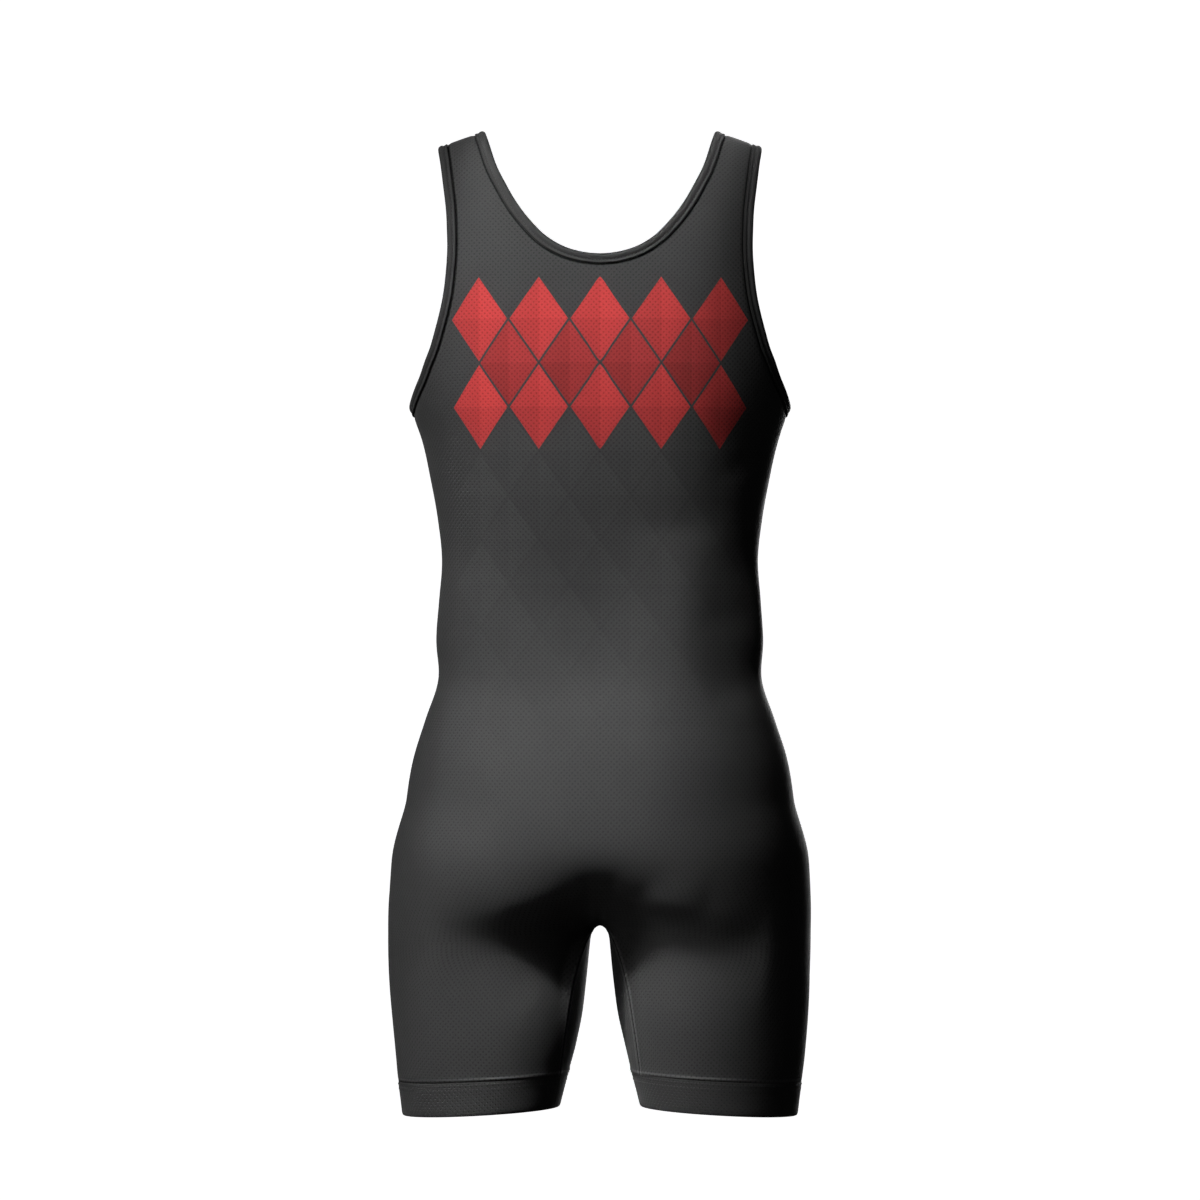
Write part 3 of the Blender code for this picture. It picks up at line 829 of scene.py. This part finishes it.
def cloth_places(fine, rows, side):
    """Where each point lies in the flat cloth: across from the middle, and up."""
    depth = "back" if side == BACK else "front"
    along = lengths_along(fine)
    leg_start = (along[rows == LEG_ROWS, -1] - along[:, -1]) / 2
    below = np.where(rows < LEG_ROWS, leg_start, 0)[:, None] + along
    x, z = np.abs(fine[..., 0]), fine[..., 2]
    above = round_the_trunk(x, side * fine[..., 1], z, depth)
    share = smoothstep(LEG_ROWS + CROTCH_ROWS, LEG_ROWS + 2 * CROTCH_ROWS, rows)[:, None]
    return np.stack([below + (above - below) * share, up_the_dome(x, z, depth), np.zeros_like(z)], -1)


def full_turn(steps):
    """The turns of evenly spaced points once round."""
    return np.arange(steps) * 2 * math.pi / steps


def numbered(rows):
    """The numbers of the points of a grid."""
    return np.arange(rows[..., 0].size).reshape(rows.shape[:2])


def quads(ids, flip):
    faces =np.stack([ids[:-1, :-1], ids[1:, :-1], ids[1:, 1:], ids[:-1, 1:]], -1).reshape(-1, 4)
    return faces[:, ::-1] if flip else faces


def make_mesh(name, vertices, faces, facts, material):
    """A smooth mesh piece, with facts stored for the material at its points."""
    mesh = bpy.data.meshes.new(name)
    mesh.from_pydata(vertices.reshape(-1, 3).tolist(), [], [list(map(int, face)) for face in faces])
    for key, values in facts.items():
        vector = values.shape[-1] == 3 and values.size == vertices.size
        stored = mesh.attributes.new(key, "FLOAT_VECTOR" if vector else "FLOAT", "POINT")
        stored.data.foreach_set("vector" if vector else "value", values.astype(np.float32).ravel())
    mesh.shade_smooth()
    mesh.materials.append(material)
    piece = bpy.data.objects.new(name, mesh)
    bpy.context.collection.objects.link(piece)
    return piece


def make_panel(name, side, seams, edges, outside, inside):
    """The back or the front in one piece: two halves cut alike, each with creases of its own."""
    grid = panel_grid(side, *seams)
    fine, rows = finer_grid(grid)
    crotch, underarm = LEG_ROWS, LEG_ROWS + TRUNK_ROWS
    neck = underarm + ARM_ROWS - NECK_ROWS
    places = cloth_places(fine, rows, side)
    hem = fine[..., 2] - hem_tilt(fine, BAND_TOP)[..., 2]
    rim = np.minimum(*(distance_to(closed(edge), fine) for edge in edges)) - BINDING_WIDTH
    inseam = fine[rows <= crotch, 0]
    lines = inseam, mirrored(inseam), fine[rows <= underarm, -1], fine[-1]
    seam = np.min([distance_to(line, fine) for line in lines], axis=0)
    sewn = SEAM_RIDGE[side] * bump_at(seam, SEAM_RIDGE_AT, RIDGE_WIDTH)
    sewn += HEM_RIDGE * bump_at(hem, HEM_RIDGE_AT, RIDGE_WIDTH)
    sewn -= SEAM_DIP * bump_at(seam, 0, DIP_WIDTH) + HEM_DIP * bump_at(hem, 0, DIP_WIDTH)
    sewn -= RIM_DIP * (1 - smoothstep(*RIM_SLOPE, rim))
    calm = smoothstep(*CALM_AT_SEAM, seam) * smoothstep(*CALM_AT_RIM, rim) * smoothstep(*CALM_AT_HEM, hem)
    worn = [calm * (swells(half) - creases(half, side)) for half in (fine, mirrored(fine))]
    left, right = (fine + normals(fine) * (sewn + relief)[..., None] for relief in worn)
    shared = (rows >= crotch) & (rows <= neck)
    left[shared, 0, 0] = 0
    vertices = np.stack([left, mirrored(right)]).reshape(-1, 3)
    ids = numbered(left)
    right_ids = ids + ids.size
    right_ids[shared, 0] = ids[shared, 0]
    faces = np.vstack([quads(ids, side == FRONT), quads(right_ids, side == BACK)])
    used, faces = np.unique(faces, return_inverse=True)
    facts = {"cloth": np.stack([places, mirrored(places)]).reshape(-1, 3)[used]}
    for fact, away in (("hem", hem), ("rim", rim), ("seam", seam)):
        facts[fact] = np.tile(away.ravel(), 2)[used]
    piece = make_mesh(name, vertices[used], faces.reshape(-1, 4), facts, outside)
    piece.data.materials.append(inside)
    wall = piece.modifiers.new("wall", "SOLIDIFY")
    wall.thickness = CLOTH
    wall.offset = -1
    wall.material_offset = 1
    wall.material_offset_rim = 1
    return piece


def evenly_round(loop):
    """A closed loop resampled to steps of about LOOP_STEP."""
    line = closed(loop)
    return settle(even(line, round(lengths_along(line)[-1] / LOOP_STEP))[:-1])


def strip_places(ring, section, toward):
    """Where the points of a closed strip lie in the flat: along the ring, and along the section."""
    skin = toward * lengths_along(np.stack(section, -1))
    return np.stack(np.broadcast_arrays(lengths_along(closed(ring))[:-1, None], skin, 0.0), -1)


def make_strip(name, rows, facts, flip, material):
    """A strip as one skin, from one section to the next and round to the first again."""
    ids = numbered(rows)
    return make_mesh(name, rows, quads(np.vstack([ids, ids[:1]]), flip), facts, material)


def binding_surface(loop, toward, across, out):
    """Points of a binding: so far across from the free edge, and so far out from the cloth."""
    sideways = loop_sideways(loop, toward)
    base = settle(loop[:, None] + sideways[:, None] * across[:, None])
    return base + normals(base) * out[:, None]


def make_binding(name, loop, toward, material):
    """A strip folded over the free edge of the cloth, as one skin with its ends on the cloth."""
    across, out = BINDING_SECTION["across"], BINDING_SECTION["out"]
    rows = binding_surface(closed(loop), toward, across, out)[:-1]
    facts = {
        "cloth": strip_places(loop, (across, out), 1),
        "across": np.broadcast_to(across, rows.shape[:2]),
    }
    return make_strip(name, rows, facts, toward == 1, material)


def band_surface(side, down, out):
    """Points of a leg hem: so far down from the top of the band, and so far out from the cloth."""
    turns = full_turn(BAND_STEPS)
    wide, deep = BAND_GUIDE
    guide = np.stack([BAND_AXIS + wide * np.cos(turns), deep * np.sin(turns), 0 * turns], -1)
    base = np.stack([band_ring(guide, BAND_TOP - d) for d in down], 1)
    flat = unit(normals(base) * (1, 1, 0))
    return (base + flat * out[:, None]) * (side, 1, 1)


def make_hem(name, side, material):
    """The turned hem of a leg: its outer face, its fold and its inner face."""
    down, out = HEM_SECTION["down"], HEM_SECTION["out"]
    rows = band_surface(side, down, out)
    facts = {"cloth": strip_places(rows[:, HEM_OUTER_POINT], (down, out), -1)}
    return make_strip(name, rows, facts, side == 1, material)


def make_stitches(name, line, out, material):
    """A row of stitches along a line: short threads that rise from the cloth and dip into it."""
    lengths = lengths_along(line)
    count = round(lengths[-1] / STITCH_STEP)
    shares = np.linspace(-0.5, 0.5, STITCH_RINGS)
    turns = full_turn(STITCH_SIDES)
    arch = 1 - (2 * shares) ** 2
    swell = np.sqrt(np.maximum(arch, STITCH_BLUNT)) * STITCH_THICK / 2
    centres = (np.arange(count) + 0.5) * lengths[-1] / count
    at = centres[:, None] + shares * STITCH_LONG
    points, ups = at_lengths(line, lengths, at), at_lengths(out, lengths, at)
    ahead = unit(np.gradient(points, axis=1))
    sideways = unit(np.cross(ahead, ups))
    points = points + ups * (STITCH_RISE * arch)[:, None]
    ring = sideways[:, :, None] * np.cos(turns)[:, None] + ups[:, :, None] * np.sin(turns)[:, None]
    vertices = points[:, :, None] + ring * swell[:, None, None]
    ids = numbered(vertices[0])
    around = quads(np.hstack([ids, ids[:, :1]]), False)
    stitch = [*around, ids[0, ::-1], ids[-1]]
    faces = [face + n * ids.size for n in range(count) for face in stitch]
    return make_mesh(name, vertices, faces, {}, material)


# ---------------- materials


class Finish:
    """A material under construction: its nodes are added one by one, as sums of the ones before."""

    def __init__(self, name, **constants):
        self.material = bpy.data.materials.new(name)
        self.material.use_nodes = True
        self.tree = self.material.node_tree
        self.shader = self.tree.nodes["Principled BSDF"]
        for socket, value in constants.items():
            self.shader.inputs[socket.replace("_", " ")].default_value = value

    def feed(self, socket, source):
        if isinstance(source, bpy.types.NodeSocket):
            self.tree.links.new(source, socket)
        else:
            socket.default_value = source

    def node(self, kind, sources, output=0, **settings):
        added = self.tree.nodes.new(f"ShaderNode{kind}")
        for key, value in settings.items():
            setattr(added, key, value)
        for key, source in sources.items():
            self.feed(added.inputs[key], source)
        return added.outputs[output]

    def math(self, operation, *sources):
        return self.node("Math", dict(enumerate(sources)), operation=operation)

    def times(self, product, *factors):
        for factor in factors:
            product = self.math("MULTIPLY", product, factor)
        return product

    def gap(self, a, b):
        """How far apart two values are."""
        return self.math("ABSOLUTE", self.math("SUBTRACT", a, b))

    def vector(self, operation, *sources, output=0):
        return self.node("VectorMath", dict(enumerate(sources)), output, operation=operation)

    def ramp(self, value, low, high, at_low, at_high):
        """The value taken smoothly from one end to the other."""
        sources = dict(enumerate((value, low, high, at_low, at_high)))
        return self.node("MapRange", sources, interpolation_type="SMOOTHSTEP")

    def fact(self, name, output="Fac"):
        return self.node("Attribute", {}, output, attribute_name=name)

    def noise(self, place, scale, detail=2.0, output="Fac"):
        sources = {"Vector": place, "Scale": scale, "Detail": detail}
        return self.node("TexNoise", sources, output)

    def dye(self, place, layers):
        """The tones of uneven dye, one for each of its layers."""
        return [
            self.ramp(self.noise(place, scale, detail), low, 1 - low, darkest, lightest)
            for scale, detail, low, darkest, lightest in layers
        ]

    def parts(self, vector):
        return self.node("SeparateXYZ", {0: vector}, slice(0, 2))

    def mix(self, share, a, b, way="MIX"):
        sources = {0: share, 6: a, 7: b}
        return self.node("Mix", sources, 2, data_type="RGBA", blend_type=way)

    def scaled(self, colour, amount):
        """The colour made lighter or darker by an amount."""
        grey = self.node("CombineColor", {0: amount, 1: amount, 2: amount})
        return self.mix(1.0, colour, grey, "MULTIPLY")

    def paint(self, colour, tone):
        self.feed(self.shader.inputs["Base Color"], self.scaled(colour, tone))

    def bump(self, height, distance):
        sources = {"Height": height, "Distance": distance, "Strength": 1.0}
        self.feed(self.shader.inputs["Normal"], self.node("Bump", sources))


def pinholes(finish, place, radius):
    """1 in the small holes of the knit, which lie in rows that are set off by half a step."""
    jitter = finish.noise(place, JITTER_SCALE, output="Color")
    jitter = finish.vector("SUBTRACT", jitter, (0.5, 0.5, 0.5))
    counted = finish.vector("MULTIPLY", place, (1 / HOLE_PITCH, 1 / HOLE_PITCH, 0))
    counted = finish.vector("MULTIPLY_ADD", jitter, (HOLE_JITTER, HOLE_JITTER, 0), counted)
    aways = []
    for shift in (0.0, 0.5):
        cell = finish.vector("FRACTION", finish.vector("ADD", counted, (shift, shift, 0)))
        aways.append(finish.vector("DISTANCE", cell, (0.5, 0.5, 0), output="Value"))
    away = finish.math("MINIMUM", *aways)
    return finish.ramp(away, *(share * radius / HOLE_PITCH for share in HOLE_EDGE), 1.0, 0.0)


def loops_of_knit(finish, place, wale, course):
    """The height of the knit's tiny loops: columns of V shapes."""
    across, up = finish.parts(place)
    arm = finish.gap(finish.math("FRACT", finish.math("DIVIDE", across, wale)), 0.5)
    turn = finish.times(finish.math("ADD", finish.math("DIVIDE", up, course), arm), 2 * math.pi)
    wave = finish.math("MULTIPLY_ADD", finish.math("SINE", turn), 0.5, 0.5)
    return finish.times(wave, finish.ramp(arm, 0.0, COLUMN_GAP, GAP_HEIGHT, 1.0))


def harlequin(finish, place, cloth):
    """A printed band of faceted lozenges in two reds, fading below to faint grey ones."""
    across, up = finish.parts(place)
    x = finish.math("DIVIDE", across, LOZENGE_WIDTH)
    y = finish.math("DIVIDE", finish.math("SUBTRACT", LOZENGE_TOP_ROW, up), LOZENGE_HEIGHT)
    rising, falling = finish.math("ADD", x, y), finish.math("SUBTRACT", x, y)
    rise_cell, fall_cell = finish.math("ROUND", rising), finish.math("ROUND", falling)
    column = finish.times(finish.math("ADD", rise_cell, fall_cell), 0.5)
    row = finish.times(finish.math("SUBTRACT", rise_cell, fall_cell), 0.5)
    off = finish.math("MAXIMUM", finish.gap(rising, rise_cell), finish.gap(falling, fall_cell))
    near = finish.math("LESS_THAN", finish.math("ABSOLUTE", column), PRINT_COLUMNS)
    inside = finish.times(finish.ramp(off, *LOZENGE_EDGE, 1.0, 0.0), near)
    printed = finish.math("LESS_THAN", finish.gap(row, PRINT_MIDDLE_ROW), PRINT_ROWS)
    between = finish.math("GREATER_THAN", finish.math("FRACT", finish.math("ABSOLUTE", column)), 0.25)
    cell = finish.node("CombineXYZ", {0: column, 1: row, 2: 0.0})
    chance = finish.node("TexWhiteNoise", {"Vector": cell}, "Value", noise_dimensions="3D")
    tone = FACET_TONE
    for part, change in (
        (finish.math("GREATER_THAN", x, column), LEFT_FACET),
        (finish.math("GREATER_THAN", y, row), LOWER_FACET),
        (chance, LOZENGE_CHANCE),
    ):
        tone = finish.math("MULTIPLY_ADD", part, change, tone)
    red = finish.scaled(finish.mix(between, BRIGHT_RED, DARK_RED), tone)
    ghost = finish.times(
        inside,
        finish.math("GREATER_THAN", row, GHOST_TOP_ROW),
        finish.ramp(row, *GHOST_FADE, 1.0, 0.0),
        finish.math("SUBTRACT", tone, GHOST_LEVEL),
    )
    cloth = finish.scaled(cloth, finish.math("MULTIPLY_ADD", ghost, GHOST_STRENGTH, 1.0))
    return finish.mix(finish.times(inside, printed), cloth, red)


def knit_finish(name, colour, hole, printed=False, seams=False):
    """Mesh knit: its loops with painted highlight, its pinholes with painted shade, the slow mottling of the
    dye, and painted shade in the grooves of its seams with painted highlight on their ridges.
    """
    finish = Finish(name, Roughness=0.86, Specular_IOR_Level=0.22, Sheen_Weight=0.06, Sheen_Roughness=0.5)
    place = finish.fact("cloth", "Vector")
    holes = pinholes(finish, place, hole)
    loops = loops_of_knit(finish, place, WALE, COURSE)
    if printed:
        colour = harlequin(finish, place, colour)
    # Painted shade in the pinholes.
    painted_hole_shade = finish.math("MULTIPLY_ADD", holes, -HOLE_PAINTED_SHADE, 1.0)
    # Painted highlight on the tops of the loops, painted shade at their feet.
    painted_loop_light = finish.math("MULTIPLY_ADD", loops, *LOOP_PAINTED_LIGHT)
    tone = finish.times(*finish.dye(place, KNIT_DYE), painted_hole_shade, painted_loop_light)
    # Painted shade in the groove at each sewn line, and painted highlight on the ridge beside it.
    for fact, groove, darkest, ridge, lightest in SEWN_LINE_PAINTED_SHADE_AND_HIGHLIGHT if seams else ():
        away = finish.fact(fact)
        painted_groove_shade = finish.ramp(away, PAINTED_GROOVE_SHADE_CORE * groove, groove, darkest, 1.0)
        painted_ridge_highlight = finish.ramp(finish.gap(away, ridge), *PAINTED_RIDGE_HIGHLIGHT_EDGE, lightest, 1.0)
        tone = finish.times(tone, painted_groove_shade, painted_ridge_highlight)
    finish.paint(colour, tone)
    finish.bump(finish.math("SUBTRACT", finish.times(loops, LOOP_HEIGHT), holes), KNIT_RELIEF)
    return finish.material


def binding_finish(name, colour):
    """Close knit of the bindings, with painted highlight on its loops and painted shade at the fold, along
    the stitching and at the sewn edge.
    """
    finish = Finish(name, Roughness=0.80, Specular_IOR_Level=0.26, Sheen_Weight=0.07, Sheen_Roughness=0.5)
    place, across = finish.fact("cloth", "Vector"), finish.fact("across")
    loops = loops_of_knit(finish, place, BINDING_WALE, BINDING_COURSE)
    # Painted shade at the fold, in the dip of the stitching and at the sewn edge; painted highlight on the
    # loops.
    tone = finish.times(
        *finish.dye(place, BINDING_DYE),
        finish.ramp(across, *FOLD_PAINTED_SHADE),
        finish.ramp(finish.gap(across, BINDING_STITCH), *STITCH_PAINTED_SHADE),
        finish.ramp(across, *SEWN_EDGE_PAINTED_SHADE),
        finish.math("MULTIPLY_ADD", loops, *BINDING_LOOP_PAINTED_LIGHT),
    )
    finish.paint(colour, tone)
    finish.bump(loops, BINDING_RELIEF)
    return finish.material


def thread_finish(name, colour):
    """Twisted polyester thread, with painted shade in the grooves of its twist."""
    finish = Finish(name, Roughness=0.55, Specular_IOR_Level=0.4)
    place = finish.node("TexCoord", {}, "Object")
    sources = {"Vector": place, "Scale": 900.0, "Distortion": 3.0}
    twist = finish.node("TexWave", sources, "Fac", bands_direction="DIAGONAL")
    # Painted shade in the grooves of the twist.
    finish.paint(colour, finish.math("MULTIPLY_ADD", twist, *THREAD_PAINTED_SHADE))
    finish.bump(twist, THREAD_RELIEF)
    return finish.material


# ---------------- studio


def add_light(name, turn, rise, roll, away, aim, width, height, spread, power):
    data = bpy.data.lights.new(name, "AREA")
    data.shape = "RECTANGLE"
    data.size = width
    data.size_y = height
    data.spread = math.radians(spread)
    data.energy = power
    light = bpy.data.objects.new(name, data)
    light.visible_camera = False
    bpy.context.collection.objects.link(light)
    turn, rise = math.radians(turn), math.radians(rise)
    ahead = Vector((math.cos(rise) * math.sin(turn), math.cos(rise) * math.cos(turn), math.sin(rise)))
    light.location = Vector(MIDDLE) + Vector((aim, 0, 0)) + away * ahead
    level = ahead.to_track_quat("Z", "Y")
    light.rotation_euler = (level @ Quaternion((0, 0, 1), math.radians(roll))).to_euler()


def backdrop(name, rings, brightness):
    """A surface of turned rings (radius, height) that the camera sees, but that throws no light."""
    turns = full_turn(BACKDROP_SIDES)
    rows = np.array([[(r * math.cos(t), r * math.sin(t), z) for t in turns] for r, z in rings])
    ids = numbered(rows)
    finish = Finish(
        name,
        Roughness=1.0,
        Specular_IOR_Level=0.0,
        Base_Color=(0.8, 0.8, 0.8, 1),
        Emission_Color=(1, 1, 1, 1),
        Emission_Strength=brightness,
    )
    piece = make_mesh(name, rows, quads(np.hstack([ids, ids[:, :1]]), False), {}, finish.material)
    for light in ("diffuse", "glossy", "shadow", "transmission"):
        setattr(piece, f"visible_{light}", False)


def make_studio():
    backdrop("backdrop", BACKDROP_RINGS, BACKDROP_BRIGHTNESS)
    backdrop("floor", FLOOR_RINGS, FLOOR_BRIGHTNESS)
    for light in LIGHTS:
        add_light(*light)
    world = bpy.data.worlds.new("studio")
    bpy.context.scene.world = world
    world.use_nodes = True
    sky = world.node_tree.nodes["Background"].inputs
    sky["Color"].default_value = (1, 1, 1, 1)
    sky["Strength"].default_value = WORLD_LIGHT
    bpy.context.scene.view_settings.view_transform = "Standard"


def make_camera():
    data = bpy.data.cameras.new("camera")
    data.sensor_width = SENSOR
    data.lens = SENSOR * CAMERA_AWAY / VIEW_WIDTH
    camera = bpy.data.objects.new("camera", data)
    bpy.context.collection.objects.link(camera)
    camera.location = (0, CAMERA_AWAY, EYE_LEVEL)
    camera.rotation_euler = (math.pi / 2, 0, math.pi)
    bpy.context.scene.camera = camera


# ---------------- the whole


def wear(piece, slot, *nodes):
    """The piece rides with the singlet, in place of those nodes, which are hidden. The slot is not used."""
    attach(piece, "root")
    if nodes:
        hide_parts(*nodes)


def main():
    neck, armhole = neck_loop(NECK_ROWS), armhole_loop(ARM_ROWS)
    neck_seam, arm_seam = beside(neck, NECK_TOWARD, TUCK), beside(armhole, ARM_TOWARD, TUCK)
    inseam, side_seam = inseam_line(), side_line(arm_seam[0])
    neck_edge = evenly_round(neck_loop(EDGE_FINER * NECK_ROWS))
    arm_edge = evenly_round(armhole_loop(EDGE_FINER * ARM_ROWS))
    halves = {
        BACK: (neck_seam[: NECK_ROWS + 1], arm_seam[: ARM_ROWS + 1]),
        FRONT: (
            neck_seam[NECK_ROWS : 2 * NECK_ROWS + 1][::-1],
            np.vstack([arm_seam[:1], arm_seam[: ARM_ROWS - 1 : -1]]),
        ),
    }
    knit = knit_finish("mesh_knit", CHARCOAL, BODY_HOLE, seams=True)
    print_knit = knit_finish("printed_mesh_knit", CHARCOAL, BODY_HOLE, printed=True, seams=True)
    inner_knit = knit_finish("mesh_knit_inside", INNER_CHARCOAL, INNER_HOLE, seams=True)
    hem_knit = knit_finish("hem_knit", HEM_CHARCOAL, HEM_HOLE)
    binding_knit = binding_finish("binding_knit", BINDING_CHARCOAL)
    thread = thread_finish("thread", THREAD_CHARCOAL)

    for name, side, material in (("back", BACK, print_knit), ("front", FRONT, knit)):
        seams = inseam, side_seam, *halves[side]
        cloth = make_panel(f"{name}_cloth", side, seams, (neck_edge, arm_edge), material, inner_knit)
        wear(cloth, "body_knit", f"{name}_panel")

    for name, node, edge, toward, size in (
        ("neck", "neck_binding", neck_edge, NECK_TOWARD, NECK_STRIP),
        ("left_armhole", "armhole_binding_left", arm_edge, ARM_TOWARD, ARM_STRIP),
        ("right_armhole", "armhole_binding_right", mirrored(arm_edge), -ARM_TOWARD, ARM_STRIP),
    ):
        strip = make_binding(f"{name}_piping", edge, toward, binding_knit)
        wear(strip, "binding_knit", node)
        at = np.array([BINDING_STITCH]), np.array([BINDING_STITCH_OUT])
        line = closed(binding_surface(edge, toward, *at)[:, 0])
        stitches = make_stitches(f"{name}_stitches", line, normals(line), thread)
        wear(stitches, "binding_knit")

    for name, side in (("left", 1), ("right", -1)):
        hem = make_hem(f"{name}_leg_hem", side, hem_knit)
        wear(hem, "band_knit", f"leg_band_{name}")
        rows = []
        for down in HEM_STITCHES:
            line = closed(band_surface(side, np.array([down]), np.array([HEM_STITCH_OUT]))[:, 0])
            out = unit(normals(line * (side, 1, 1)) * (side, 1, 1))
            rows.append(make_stitches(f"{name}_hem_stitches_{len(rows) + 1}", line, out, thread))
            wear(rows[-1], "band_knit")


make_studio()
make_camera()
main()
